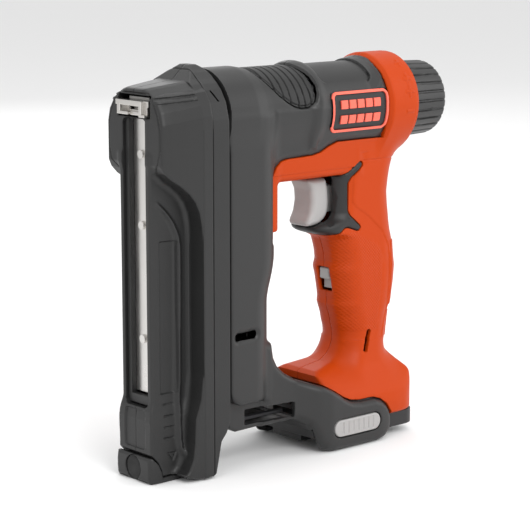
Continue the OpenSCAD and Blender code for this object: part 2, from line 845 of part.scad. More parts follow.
module hex_key() {
    color([0.7, 0.7, 0.68])
        placed() {
            translate([69, -15, 27]) rotate([0, 90, 0]) cylinder(h = 30, r = 1.6, $fn = 6);
            translate([69, -16.4, 27]) rotate([-90, 0, 0]) cylinder(h = 30, r = 1.6, $fn = 6);
        }
}
module screw_spots() {
    // x, z and the height of the head's top above the split
    translate([60, 24, 54]) children();
    translate([102, 19, 187]) children();
    translate([150, 19.4, 188]) children();
    translate([174, 17.5, 112]) children();
    translate([178, 16.5, 72]) children();
    translate([182, 16.8, 166]) children();
    translate([188, 25.8, 31]) children();
    translate([42, 27, 60]) children();
    translate([42, 27, 150]) children();
}
module screw_holes() {
    screw_spots() {
        rotate([-90, 0, 0]) cylinder(h = 20, r = 3.1);
        rotate([90, 0, 0]) cylinder(h = 9, r = 1.55);
        translate([0, -2.2, 0]) rotate([-90, 0, 0]) cylinder(h = 3, r = 3.1);
    }
}
module housing_screws() {
    color([0.3, 0.3, 0.3])
        placed() screw_spots() {
            difference() {
                translate([0, -2.1, 0]) rotate([-90, 0, 0]) cylinder(h = 2.1, r = 3);
                rotate([-90, 0, 0]) translate([0, 0, -1.2]) cylinder(h = 2, r = 1.4, $fn = 6);
            }
            translate([0, -2, 0]) rotate([90, 0, 0]) cylinder(h = 6.5, r = 1.5);
        }
}

// ---- what is drawn ----
body_shell_left();
body_shell_right();
handle_shell_left();
handle_shell_right();
nose_cover_left();
nose_cover_right();
module_housing();
channel_liner();
guide_strip();
strip_rivets();
contact_nose();
contact_springs();
driver_guide();
magazine_rail();
magazine_end_cap();
magazine_latch();
pusher();
pusher_spring();
hammer();
driver_blade();
mainspring();
bumper();
spring_seat();
depth_knob();
lifter_wheel();
lifter_axle();
gear_frame();
motor_can();
gearbox_can();
drive_pinion();
trigger();
trigger_spring();
trigger_switch();
trigger_bezel();
lock_switch();
barrel_pad();
badge_plate();
badge_frame();
base_plate();
terminal_block();
battery_terminals();
release_button_left();
release_button_right();
circuit_board();
hex_key();
housing_screws();
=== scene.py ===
import math
import bmesh
import bpy
import numpy as np
from mathutils import Matrix, Vector


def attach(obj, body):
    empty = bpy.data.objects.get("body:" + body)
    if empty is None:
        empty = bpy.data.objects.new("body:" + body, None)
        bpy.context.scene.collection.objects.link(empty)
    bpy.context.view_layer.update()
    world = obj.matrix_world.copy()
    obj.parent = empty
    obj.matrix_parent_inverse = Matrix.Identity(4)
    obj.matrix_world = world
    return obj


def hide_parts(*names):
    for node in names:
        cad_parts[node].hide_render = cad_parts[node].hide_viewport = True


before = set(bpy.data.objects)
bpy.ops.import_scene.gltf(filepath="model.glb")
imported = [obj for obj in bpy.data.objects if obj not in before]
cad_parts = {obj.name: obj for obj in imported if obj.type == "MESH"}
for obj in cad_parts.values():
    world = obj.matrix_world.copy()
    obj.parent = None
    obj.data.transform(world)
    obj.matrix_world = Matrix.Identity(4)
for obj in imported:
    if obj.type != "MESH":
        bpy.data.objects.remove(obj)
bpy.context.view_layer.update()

MID = 114.3          # x of the middle of the tool, counted from its front, mm
AXIS_Z = 204.0       # height of the barrel's axis, mm
SHELL = 2.5          # wall of the body and the handle, mm
FOOT_WALL = 1.8      # thinnest wall of the orange foot, mm
BADGE_X, BADGE_Z = 150.2, 202.6      # middle of the badge
BUTTON_X, BUTTON_Z = 143.9, 13.7     # middle of a release button
LATCH_Z = 7.6        # height of the magazine release's axis
RING_X, RING_R = 189.5, 30.4         # middle of the ring's marks, and the radius they stand on
SEAM = 0.11          # half the gap between two casing halves, mm
FINE = 1.0

# Outlines and curves are in mm: x backward from the front of the tool, y to the user's right, z up.


# ---------------------------------------------------------------- distance fields, in mm
def smin(a, b, k):
    """Union of two distance fields, with a fillet of size k."""
    h = np.clip(0.5 + 0.5 * (b - a) / k, 0, 1)
    return b + (a - b) * h - k * h * (1 - h)


def smax(a, b, k):
    """Intersection of two distance fields, with a rounded edge of size k."""
    return -smin(-a, -b, k)


def soft(points, spread):
    """A smooth curve through a short list of (position, value)."""
    points = sorted(points)
    at = np.array([p[0] for p in points], float)
    val = np.array([p[1] for p in points], float)
    spacing = 0.25
    grid = np.arange(at.min() - 30, at.max() + 30, spacing)
    table = np.interp(grid, at, val)
    sigma = spread / spacing
    n = int(sigma * 4)
    weights = np.exp(-0.5 * (np.arange(-n, n + 1) / sigma) ** 2)
    table = np.convolve(np.pad(table, n, mode="edge"), weights / weights.sum(), mode="valid")
    return lambda t: np.interp(t, grid, table).astype(np.float32)


def box(x, y, z, lo, hi, r=0.0):
    """Box from corner lo to corner hi with edges of radius r."""
    q = [np.abs(v - (a + b) / 2) - (b - a) / 2 + r for v, a, b in zip((x, y, z), lo, hi)]
    out = np.sqrt(sum(np.maximum(v, 0) ** 2 for v in q))
    return out + np.minimum(np.maximum(np.maximum(q[0], q[1]), q[2]), 0) - r


def poly(u, v, pts):
    """Signed distance to a polygon."""
    d = np.full_like(u, 1e9)
    s = np.ones_like(u)
    for i in range(len(pts)):
        (ax, ay), (bx, by) = pts[i], pts[i - 1]
        ex, ey = bx - ax, by - ay
        wx, wy = u - ax, v - ay
        t = np.clip((wx * ex + wy * ey) / (ex * ex + ey * ey), 0, 1)
        d = np.minimum(d, (wx - ex * t) ** 2 + (wy - ey * t) ** 2)
        c1, c2, c3 = v >= ay, v < by, ex * wy > ey * wx
        s = np.where((c1 & c2 & c3) | (~c1 & ~c2 & ~c3), -s, s)
    return s * np.sqrt(d)


def slab(d2, w, r):
    """A flat outline d2 given a thickness by w, with its edges rounded."""
    a, b = d2 + r, w + r
    return np.minimum(np.maximum(a, b), 0) + np.hypot(np.maximum(a, 0), np.maximum(b, 0)) - r


def step(d, width):
    """1 where d is negative, 0 where it is positive, with a ramp of the given width."""
    return np.clip(0.5 - d / width, 0, 1)


# ---------------------------------------------------------------- meshing
CORNERS = np.array([(i, j, k) for i in (0, 1) for j in (0, 1) for k in (0, 1)])
EDGES = [(a, b) for a in range(8) for b in range(a + 1, 8) if np.abs(CORNERS[a] - CORNERS[b]).sum() == 1]
BLOCK = 8            # cells along each side of a block
BATCH = 600          # blocks that are sampled together
REACH = 1.1745       # blocks whose middle is further than this many sides from the surface are skipped


def sample(fn, p):
    """Values of fn at an array of points."""
    return fn(*[p[..., i].astype(np.float32) for i in range(3)])


def surface_cells(fn, lo, count, cell):
    """The cells that the surface crosses, and the values at their corners."""
    blocks = np.stack(np.meshgrid(*[np.arange(v) for v in count], indexing="ij"), -1).reshape(-1, 3)
    middle = sample(fn, lo + (blocks + 0.5) * BLOCK * cell)
    blocks = blocks[np.abs(middle) < BLOCK * cell * REACH + 1.2]
    lattice = np.stack(np.meshgrid(*[np.arange(BLOCK + 1)] * 3, indexing="ij"), -1)
    cells, values = [], []
    for first in range(0, len(blocks), BATCH):
        some = blocks[first:first + BATCH]
        v = sample(fn, lo + (some[:, None, None, None, :] * BLOCK + lattice) * cell).astype(np.float32)
        inside = v < 0
        corners_in = np.zeros(v[:, :BLOCK, :BLOCK, :BLOCK].shape, np.int8)
        for i, j, k in CORNERS:
            corners_in += inside[:, i:BLOCK + i, j:BLOCK + j, k:BLOCK + k]
        w = np.argwhere((corners_in > 0) & (corners_in < 8))
        if len(w):
            block, a, b, c = w.T
            cells.append(some[block] * BLOCK + w[:, 1:])
            values.append(np.stack([v[block, a + i, b + j, c + k] for i, j, k in CORNERS], 1))
    return np.concatenate(cells), np.concatenate(values)


def crossings(base, values, cell):
    """Where the surface cuts the cells' edges, with the number of the cell each cut belongs to."""
    owner, where = [], []
    for a, b in EDGES:
        va, vb = values[:, a], values[:, b]
        hit = np.flatnonzero((va < 0) != (vb < 0))
        t = va[hit] / (va[hit] - vb[hit])
        owner.append(hit)
        where.append(base[hit] + (CORNERS[a] + (CORNERS[b] - CORNERS[a]) * t[:, None]) * cell)
    return np.concatenate(owner), np.concatenate(where)


def slopes(fn, p, h):
    """Unit gradients of fn at the points p."""
    grad = np.empty_like(p)
    for i in range(3):
        e = np.zeros(3)
        e[i] = h
        grad[:, i] = sample(fn, p + e) - sample(fn, p - e)
    return grad / (np.linalg.norm(grad, axis=1)[:, None] + 1e-9)


def solve(fn, lo, hi, cell):
    """Dual contouring of fn over a box. Returns vertices (mm) and quads."""
    lo = np.array(lo, float) - cell * 1.37
    count = np.ceil((np.array(hi, float) - lo + cell * 2) / (cell * BLOCK)).astype(int)
    cells, values = surface_cells(fn, lo, count, cell)
    m = len(cells)
    ids = -np.ones(count * BLOCK + 1, np.int32)
    ids[tuple(cells.T)] = np.arange(m)
    base = lo + cells * cell
    owner, where = crossings(base, values, cell)
    grad = slopes(fn, where, cell * 0.12)
    # each cell's vertex: the point nearest to all the tangent planes of its cuts
    share = np.bincount(owner, minlength=m)
    mass = np.stack([np.bincount(owner, where[:, i], m) for i in range(3)], 1) / share[:, None]
    dot = (grad * (where - mass[owner])).sum(1)
    ata = np.zeros((m, 3, 3))
    atb = np.zeros((m, 3))
    for i in range(3):
        atb[:, i] = np.bincount(owner, grad[:, i] * dot, m)
        for j in range(i, 3):
            ata[:, i, j] = ata[:, j, i] = np.bincount(owner, grad[:, i] * grad[:, j], m)
    ata += np.eye(3) * 0.12
    shift = np.linalg.solve(ata, atb[:, :, None])[:, :, 0]
    vert = np.clip(mass + shift, base + cell * 0.02, base + cell * 0.98)
    # one quad for each lattice edge that the surface cuts
    faces = []
    unit = np.eye(3, dtype=int)
    for axis in range(3):
        far = int(np.flatnonzero((CORNERS == unit[axis]).all(1))[0])
        va, vb = values[:, 0], values[:, far]
        hit = np.flatnonzero((va < 0) != (vb < 0))
        one, two = (axis + 1) % 3, (axis + 2) % 3
        u, w = unit[one], unit[two]
        hit = hit[(cells[hit, one] > 0) & (cells[hit, two] > 0)]
        at = cells[hit]
        q = np.stack([ids[tuple(c.T)] for c in (at, at - u, at - u - w, at - w)], 1)
        outward = va[hit] < 0
        q[~outward] = q[~outward][:, ::-1]
        faces.append(q[(q >= 0).all(1)])
    return vert, np.concatenate(faces)


def build(name, fn, lo, hi, cell, body, material, nodes, sharp=38, mask=None):
    """Mesh the field fn, hang it on a body and let it stand in for the CAD nodes."""
    vert, quads = solve(fn, lo, hi, cell * FINE)
    used = np.unique(quads)
    remap = -np.ones(len(vert), int)
    remap[used] = np.arange(len(used))
    vert, quads = vert[used], remap[quads]
    me = bpy.data.meshes.new(name)
    me.vertices.add(len(vert))
    co = vert.copy()
    co[:, 0] -= MID
    me.vertices.foreach_set("co", (co / 1000).ravel().astype(np.float32))
    me.loops.add(len(quads) * 4)
    me.loops.foreach_set("vertex_index", quads.ravel().astype(np.int32))
    me.polygons.add(len(quads))
    me.polygons.foreach_set("loop_start", np.arange(0, len(quads) * 4, 4, dtype=np.int32))
    me.update(calc_edges=True)
    me.validate()
    if mask is not None:
        values = mask(*vert.T).astype(np.float32)
        me.attributes.new("mask", "FLOAT", "POINT").data.foreach_set("value", values[:len(me.vertices)])
    me.shade_smooth()
    me.set_sharp_from_angle(angle=math.radians(sharp))
    ob = bpy.data.objects.new(name, me)
    bpy.context.scene.collection.objects.link(ob)
    ob.data.materials.append(material)
    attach(ob, body)
    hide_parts(*nodes)


# ---------------------------------------------------------------- materials
def srgb(h):
    """Linear RGBA of a hex colour."""
    v = [int(h[i:i + 2], 16) / 255 for i in (0, 2, 4)]
    return [c / 12.92 if c <= 0.04045 else ((c + 0.055) / 1.055) ** 2.4 for c in v] + [1.0]


def material(name, colour, rough, metallic=0.0, grain=900.0, bump=0.06, vary=0.06, edge=0.12, shine=0.5,
             stretch=None, weave=None):
    """Principled material with grain, uneven gloss, convex edges lightened as wear and painted highlight,
    and a woven texture where mask is 1.
    """
    m = bpy.data.materials.new(name)
    m.use_nodes = True
    nt = m.node_tree
    n, link = nt.nodes, nt.links.new
    bsdf = n["Principled BSDF"]
    bsdf.inputs["Metallic"].default_value = metallic
    bsdf.inputs["Specular IOR Level"].default_value = shine
    coord = n.new("ShaderNodeTexCoord")
    src = coord.outputs["Object"]
    if stretch:
        mp = n.new("ShaderNodeMapping")
        mp.inputs["Scale"].default_value = stretch
        link(src, mp.inputs["Vector"])
        src = mp.outputs["Vector"]
    fine = n.new("ShaderNodeTexNoise")
    fine.inputs["Scale"].default_value = grain
    fine.inputs["Detail"].default_value = 3
    link(src, fine.inputs["Vector"])
    broad = n.new("ShaderNodeTexNoise")
    broad.inputs["Scale"].default_value = 28
    broad.inputs["Detail"].default_value = 4
    link(coord.outputs["Object"], broad.inputs["Vector"])
    ramp = n.new("ShaderNodeMapRange")
    ramp.inputs["From Min"].default_value = 0.3
    ramp.inputs["From Max"].default_value = 0.7
    ramp.inputs["To Min"].default_value = rough - vary
    ramp.inputs["To Max"].default_value = rough + vary
    link(broad.outputs["Fac"], ramp.inputs["Value"])
    link(ramp.outputs["Result"], bsdf.inputs["Roughness"])
    # wear and painted highlight: convex edges (high pointiness) get a lighter base colour, which stands in
    # for both rubbed edges and the light that rounded edges catch; the edge argument sets how strong it is
    geo = n.new("ShaderNodeNewGeometry")
    edge_wear_and_highlight = n.new("ShaderNodeMapRange")
    edge_wear_and_highlight.inputs["From Min"].default_value = 0.51
    edge_wear_and_highlight.inputs["From Max"].default_value = 0.62
    edge_wear_and_highlight.inputs["To Min"].default_value = 0.0
    edge_wear_and_highlight.inputs["To Max"].default_value = edge
    link(geo.outputs["Pointiness"], edge_wear_and_highlight.inputs["Value"])
    mix = n.new("ShaderNodeMix")
    mix.data_type = "RGBA"
    base = srgb(colour)
    mix.inputs["A"].default_value = base
    mix.inputs["B"].default_value = [min(1, c * 1.8 + 0.03) for c in base[:3]] + [1]
    link(edge_wear_and_highlight.outputs["Result"], mix.inputs["Factor"])
    link(mix.outputs["Result"], bsdf.inputs["Base Color"])
    bp = n.new("ShaderNodeBump")
    bp.inputs["Strength"].default_value = bump
    bp.inputs["Distance"].default_value = 0.0004
    link(fine.outputs["Fac"], bp.inputs["Height"])
    last = bp
    if weave:
        mask = n.new("ShaderNodeAttribute")
        mask.attribute_name = "mask"
        mp = n.new("ShaderNodeMapping")
        mp.inputs["Rotation"].default_value = (0, math.radians(45), 0)
        link(coord.outputs["Object"], mp.inputs["Vector"])
        waves = []
        for axis in ("X", "Z"):
            wv = n.new("ShaderNodeTexWave")
            wv.bands_direction = axis
            wv.inputs["Scale"].default_value = weave
            link(mp.outputs["Vector"], wv.inputs["Vector"])
            waves.append(wv)
        add = n.new("ShaderNodeMath")
        add.operation = "ADD"
        link(waves[0].outputs["Fac"], add.inputs[0])
        link(waves[1].outputs["Fac"], add.inputs[1])
        mul = n.new("ShaderNodeMath")
        mul.operation = "MULTIPLY"
        link(add.outputs["Value"], mul.inputs[0])
        link(mask.outputs["Fac"], mul.inputs[1])
        knurl = n.new("ShaderNodeBump")
        knurl.inputs["Strength"].default_value = 0.5
        knurl.inputs["Distance"].default_value = 0.0003
        link(mul.outputs["Value"], knurl.inputs["Height"])
        link(bp.outputs["Normal"], knurl.inputs["Normal"])
        last = knurl
    link(last.outputs["Normal"], bsdf.inputs["Normal"])
    return m


DARK = material("dark_plastic", "232323", 0.42, bump=0.10, vary=0.05, shine=0.45)
FRONT = material("module_plastic", "1f1f1f", 0.44, bump=0.10, vary=0.05, shine=0.42)
BLACK = material("black_plastic", "161617", 0.45, bump=0.08)
CHAR = material("charcoal_plastic", "202020", 0.5, bump=0.12, shine=0.4)
ORANGE = material("orange_plastic", "b23a02", 0.45, bump=0.08, vary=0.04, edge=0.06, shine=0.16, weave=210)
GREY = material("grey_plastic", "a09e9d", 0.42, bump=0.06, edge=0.05)
KNOB = material("knob_plastic", "262626", 0.42, bump=0.10)
SALMON = material("badge_salmon", "ef6450", 0.4, bump=0.04, edge=0.05)
BRIGHT = material("bright_steel", "c9c6c2", 0.30, metallic=1.0, grain=300, bump=0.10, edge=0.2,
                  stretch=(1, 1, 0.06))
STEEL = material("steel", "8d8c8a", 0.38, metallic=1.0, grain=400, bump=0.12, edge=0.2)
SPRING = material("spring_steel", "8a8a8e", 0.32, metallic=1.0, grain=500, bump=0.06, edge=0.2)
BRASS = material("brass", "cfa85a", 0.3, metallic=1.0, grain=500, bump=0.05)
BOARD = material("board", "1c5a34", 0.4, grain=300, bump=0.1)
BLUED = material("blued_steel", "2c2c2e", 0.5, metallic=0.6, grain=400, bump=0.1)
RUBBER = material("rubber", "161616", 0.75, grain=700, bump=0.2)


# ---------------------------------------------------------------- the tool's outer form
barrel_radius = soft([(50, 27.6), (72, 27.6), (80, 26.2), (84, 26.0), (109, 26.0), (112.5, 26.3),
                      (118, 28.3), (120.5, 28.4), (124.6, 27.4), (128, 27.4), (160, 27.4), (169, 28.5),
                      (173.5, 28.5)], 0.7)
skirt_half = soft([(150, 18.0), (163, 18.6), (172, 19.6), (183, 20.6), (192, 23.2), (199, 25.6),
                   (206, 26.6)], 2.5)


def f_barrel(x, y, z):
    """Barrel with its collars, the saddle between them and the skirt below."""
    rr = np.hypot(y, z - AXIS_Z)
    d = np.maximum(rr - barrel_radius(x), np.maximum(51.3 - x, x - 173.4))
    # recessed saddle between the two collars, with a crisp lower edge
    arc = np.degrees(np.arctan2(np.abs(y), z - AXIS_Z))
    plan = slab(np.maximum(124.0 - x, x - 163.6 - 0.02 * arc), (arc - 54.5) * 0.48, 5.0)
    saddle = np.maximum(plan, 25.9 - rr)
    d = smax(d, -saddle, 0.7)
    # shallow strip between the saddle and the rear collar
    lip = np.maximum(plan - 7.2, -plan)
    d = d + 0.7 * step(lip, 1.2) * step(25 - rr, 2.0) * step(160 - x, 3.0)
    skirt = slab(box(x, z, z * 0, (86, 176, -1), (173.4, 206, 1)), np.abs(y) - skirt_half(z), 1.0)
    d = smin(d, skirt, 2.5)
    # ridge that runs down the side below the first collar
    side = np.maximum(np.abs(x - 117.2 - 0.13 * np.maximum(190 - z, 0)) - 1.6, np.maximum(183 - z, z - 206))
    return smin(d, slab(side, np.abs(y) - skirt_half(z) - 1.1, 1.0), 3.2)


column_back = soft([(40, 87.5), (98, 87.5), (104, 88.8), (109, 90.4), (115, 92), (121, 93),
                    (190, 93)], 1.5)


def f_column(x, y, z):
    """Upright column with the motor, and the hex key's tray under it."""
    q = slab(np.maximum(x - column_back(z), 20 - x), np.abs(y) - 26.6, 18.0)
    q = smax(q, 51.3 - x, 1.6)
    d = smax(q, np.maximum(38.0 - z, z - AXIS_Z), 3.0)
    d = smax(d, -poly(x, z, [(50, 45), (57, 38), (57, 20), (40, 20), (40, 45)]), 3.0)
    tray_side = [(52.2, 42), (52.2, 29), (55, 24), (60, 21.2), (98, 22.3), (98, 42)]
    tray = slab(poly(x, z, tray_side), np.abs(y) - 20.0, 1.6)
    return np.minimum(d, tray)


bridge_half = soft([(80, 22.5), (92, 23.4), (101, 25.0), (108, 28.4), (116, 32.8), (123, 34.5),
                    (164, 34.5), (171, 33.6), (176, 31.5)], 1.8)
BRIDGE = [(80, 70), (86.4, 70), (88, 62), (90.8, 56.4), (96, 51), (103.4, 46.3), (111, 43.4), (118, 41),
          (124.8, 38.6), (131, 34.9), (136, 31.4), (141, 28.9), (148, 27.7), (160, 27.5), (166, 25.6),
          (171, 21.8), (175, 16), (176.2, 10.5), (174, 5), (169, 1.4), (162, 0), (126, 0), (119.6, 1.8),
          (115.4, 6), (113, 12.5), (109.6, 18.6), (103, 21.8), (95, 23), (80, 23)]


def f_bridge(x, y, z):
    """Bridge from the column back to the foot's two cheeks."""
    return slab(poly(x, z, BRIDGE), np.abs(y) - bridge_half(x), 4.6)


grip_front = soft([(170, 150), (164, 142), (150, 140.5), (140, 140), (136.5, 137), (134, 129.5),
                   (131.5, 127.5), (129, 130), (127, 137), (124.5, 143), (120, 144.6), (115, 146.1),
                   (109, 146.9), (104.5, 145.4), (99, 146.9), (93, 147.9), (88, 148.7), (85, 149),
                   (82.5, 148.4), (79, 149.6), (75, 151), (70, 152), (66, 153.2), (62, 153.6),
                   (57, 152.6), (53, 151.1), (49, 148.7), (44, 146), (36, 143)], 0.8)
grip_back = soft([(184, 198), (178, 195.4), (172, 193.5), (164, 191.2), (158, 190.3), (150, 189.6),
                  (142, 190.4), (137, 191.2), (131, 192), (126, 192.9), (120, 194.5), (115, 194.8),
                  (109, 195.3), (104, 196.1), (100, 195.9), (93, 195.3), (88, 194.5), (82, 193.7),
                  (79, 193), (75, 191.2), (68, 190.4), (60, 189.6), (57, 188.8), (52, 188.9), (49, 189.6),
                  (46, 191.6), (40, 193.5)], 0.9)
grip_half = soft([(185, 20), (165, 19.6), (150, 18.9), (130, 18.6), (105, 19.0), (80, 18.5), (65, 18.3),
                  (55, 18.6), (50, 19.4), (45, 20.8), (38, 23)], 2.5)


def f_grip(x, y, z):
    """The grip: its front, back and width all change with height."""
    a, b, w = grip_front(z), grip_back(z), grip_half(z)
    mid, half = (a + b) / 2, (b - a) / 2
    d = slab(np.abs(x - mid) - half, np.abs(y) - w, 15.5)
    return np.maximum(d * 0.93, np.maximum(37 - z, z - 184))


FOOT = [(125, 37), (125.2, 43.4), (128, 45.4), (143, 47.8), (150, 50), (154, 53), (184, 53), (188, 50.2),
        (190, 48.4), (194.4, 43.4), (198.4, 38.4), (200.8, 33), (201.4, 27), (201, 14.2), (120, 14.2)]
foot_half = soft([(10, 31.6), (22, 31.8), (29, 30.4), (34, 27.9), (38, 24.6), (42, 20.4), (45, 16.0),
                  (48, 11.5), (52, 8.5)], 1.2)
foot_plan = soft([(120, 22), (130, 29), (140, 32.6), (180, 32.6), (188, 31.2), (195, 27.4), (199, 21.8),
                  (202, 12), (204, 6)], 1.5)


def f_foot(x, y, z):
    """The orange part of the foot."""
    w = smin(foot_half(z), foot_plan(x), 3.0)
    return slab(poly(x, z, FOOT), (np.abs(y) - w) * 0.8, 2.4)


def ring_marks(x, y, z):
    """Raised marks on the ring: a plus, a minus and a plain row of bars between them."""
    arc = np.arctan2(-y, z - AXIS_Z) * RING_R
    out = 1e3
    for at, w, h in ((20, 3.0, 0.8), (20, 0.8, 3.0), (52, 3.0, 0.8)):
        out = np.minimum(out, np.maximum(np.abs(x - RING_X) - w, np.abs(arc - at) - h))
    rows = np.maximum(np.abs(x - RING_X) - 3.0, np.abs(np.abs(arc - 36) - 4.0) - 0.8)
    rows = np.minimum(rows, np.maximum(np.abs(x - RING_X) - 0.8, np.abs(arc - 36) - 7.5))
    return np.minimum(out, rows)


def f_ring(x, y, z):
    """Ring round the rear of the barrel."""
    rr = np.hypot(y, z - AXIS_Z)
    d = smax(rr - 30.3, np.maximum(173.5 - x, x - 198.0), 1.2)
    d = smax(d, (rr - 30.3) * 0.64 - (x - 173.5) * 0.77 + 1.9, 0.5)
    d = smax(d, (rr - 30.3) * 0.7 + (x - 198.0) * 0.7 + 1.3, 0.5)
    # shallow groove near the rear edge
    d = d + 0.4 * step(np.abs(x - 195.4) - 0.35, 0.5) * (rr > 28)
    return d


def f_bar(x, y, z):
    """Bar over the trigger, and the strip that runs down the column."""
    d = slab(poly(x, z, [(84, 190), (84, 163), (160, 163), (160, 190)]), np.abs(y) - skirt_half(z), 4.2)
    q = slab(np.maximum(x - 95.4, 20 - x), np.abs(y) - 19.0, 4.0)
    strip = smax(q, np.maximum(134.6 - z, z - 185), 2.0)
    return smin(d, strip, 3.0)


def f_all(x, y, z):
    """The joined outline of the dark body and the orange handle."""
    d = smin(f_barrel(x, y, z), f_column(x, y, z), 5.0)
    d = smin(d, f_bridge(x, y, z), 5.0)
    bar = f_bar(x, y, z)
    grip = f_grip(x, y, z)
    ring = f_ring(x, y, z)
    h = smin(bar, grip, 4.0)
    h = smin(h, f_foot(x, y, z), 5.5)
    low = smin(h, ring, 9.0)
    h = np.where(z < AXIS_Z, low, np.minimum(h, ring))
    return np.minimum(d, h)


ORANGE_REGION = [(173.6, 245), (173.6, 184.6), (138, 184.6), (131.5, 182.2), (125.5, 179.2),
                 (119.5, 178.0), (100, 177.4), (95, 176.4), (91, 173.2), (88.6, 168.2), (88.4, 160),
                 (88.4, 131), (100, 131), (100, 60), (118, 46), (124.8, 39.2), (131, 35.2), (136, 31.4),
                 (141, 28.9), (148, 27.7), (160, 27.5), (166, 25.6), (171, 21.8), (175, 16), (176.1, 10),
                 (230, 5), (230, 245)]
BEZEL_REGION = [(112, 163.4), (145.5, 163.4), (149.2, 164.8), (157.6, 171.2), (159.4, 171.0),
                (160.4, 169.6), (160, 168.2), (152.6, 162), (150.6, 158.4), (150.4, 142), (151.6, 138.8),
                (159.6, 132.2), (160.3, 130.4), (158.9, 128.8), (156.6, 129), (150, 131.4),
                (147.2, 131.2), (143.6, 128.4), (138, 126.4), (132, 125.6), (112, 125.6)]
TEXTURE_REGION = [(120, 131), (147, 131.5), (155, 129.0), (170.6, 121.8), (176.5, 117.5), (179, 112),
                  (179.2, 96), (177.4, 80), (174.6, 62), (120, 62)]
SCREWS = [(60, 24, 54), (102, 19, 187), (150, 19.4, 188), (174, 17.5, 112), (178, 16.5, 72),
          (182, 16.8, 166), (188, 25.8, 31)]


def screw_pockets(d, x, y, z, spots):
    """Adds a boss with a countersunk screw hole to d at each spot."""
    for sx, sy, sz in spots:
        rr = np.hypot(x - sx, z - sz)
        d = smin(d, np.maximum(rr - 5.2, np.maximum(sy - 10.5 - y, y - sy - 0.4)), 0.8)
        d = smax(d, -np.maximum(rr - 3.15, sy - 2.2 - y), 0.4)
        d = smax(d, -np.maximum(rr - 1.6, sy - 9.2 - y), 0.2)
    return d


def halves(d, y, side):
    """The half of d on one side of the middle plane (-1 left, 1 right)."""
    return smax(d, SEAM - y * side, 0.35)


def f_dark(side):
    """One half of the dark body."""
    def fn(x, y, z):
        u = f_all(x, y, z)
        r = poly(x, z, ORANGE_REGION)
        ay = np.abs(y)
        # bevel along the edge that meets the orange handle
        bevel = np.clip((3.4 - r) / 3.4, 0, 1) * step(12 - ay, 6.0)
        d = smax(u + 1.15 * bevel, -r + 0.16, 0.3)
        hollow = u + SHELL
        # the foot is open below, between the cheeks
        hollow = np.minimum(hollow, box(x, y, z, (112.5, -28.3, -9), (180, 28.3, 41)))
        # open sides of the hex key tray
        hollow = np.minimum(hollow, box(x, y, z, (66.4, -30, 24.2), (101, 30, 33.6), 0.8))
        # passage for the driver and the rack
        hollow = np.minimum(hollow, box(x, y, z, (45, -8, 204.5), (56, 8, 217.5)))
        d = smax(d, -hollow, 0.4)
        # cooling slot in a shallow dish
        sx = slab(np.abs(x - 63.0) - 7.8, np.abs(z - 79.0 - 0.05 * (x - 63.0)) - 2.1, 2.0)
        d = d + 0.9 * step(sx - 1.5, 1.6) * (ay > 22)
        d = smax(d, -np.maximum(sx, 20 - ay), 0.4)
        # louvres on the rounded rear face
        lou = np.abs(np.mod(z - 66, 3.9) - 1.95) - 0.95
        lou = np.maximum(lou, np.maximum(np.maximum(64 - z, z - 91), np.maximum(79 - x, ay - 15)))
        d = smax(d, -np.maximum(lou, -u - 1.7), 0.3)
        # release button pocket
        bt = slab(np.abs(x - BUTTON_X) - 19.6, np.abs(z - BUTTON_Z) - 5.7, 5.6)
        d = smax(d, -np.maximum(bt, 26 - ay), 0.8)
        # groove round the pad on top of the barrel
        rr = np.hypot(y, z - AXIS_Z)
        pad = pad_outline(x, np.degrees(np.arctan2(ay, z - AXIS_Z)))
        d = d + 1.4 * step(pad - 0.5, 0.9) * (rr > 20) * (z > 200)
        # the left half has the badge's pocket, the right half the screw pockets
        if side < 0:
            bd = slab(np.abs(x - BADGE_X) - 23.0, np.abs(z - BADGE_Z) - 12.2, 3.0)
            d = smax(d, -np.maximum(bd, y + 25.2), 0.3)
        else:
            d = screw_pockets(d, x, y, z, SCREWS[:3])
        return halves(d, y, side)
    return fn


PAD = [(79.8, -10), (80, 13), (80.5, 24), (82, 35), (84.3, 45), (86.6, 54), (90.3, 65), (95.2, 74),
       (99.8, 80), (104.8, 83), (109.9, 83), (112.7, 81), (115.5, 77), (117.6, 66), (118.2, 56),
       (117.4, 43), (115.6, 28), (114.4, 15), (114, 0), (114, -10)]


def pad_outline(x, ang):
    """Outline of the ribbed pad, unrolled: x along the barrel, ang round it from the top, in degrees."""
    return poly(x, ang * 0.457, [(px, pa * 0.457) for px, pa in PAD])


REAR_LINE = [(153.8, 176), (153.6, 163), (153.0, 147), (156, 143.5), (166.5, 137), (178, 127.2),
             (184, 117), (185, 110), (185, 78), (181, 66), (179, 56), (215, 56), (215, 176)]


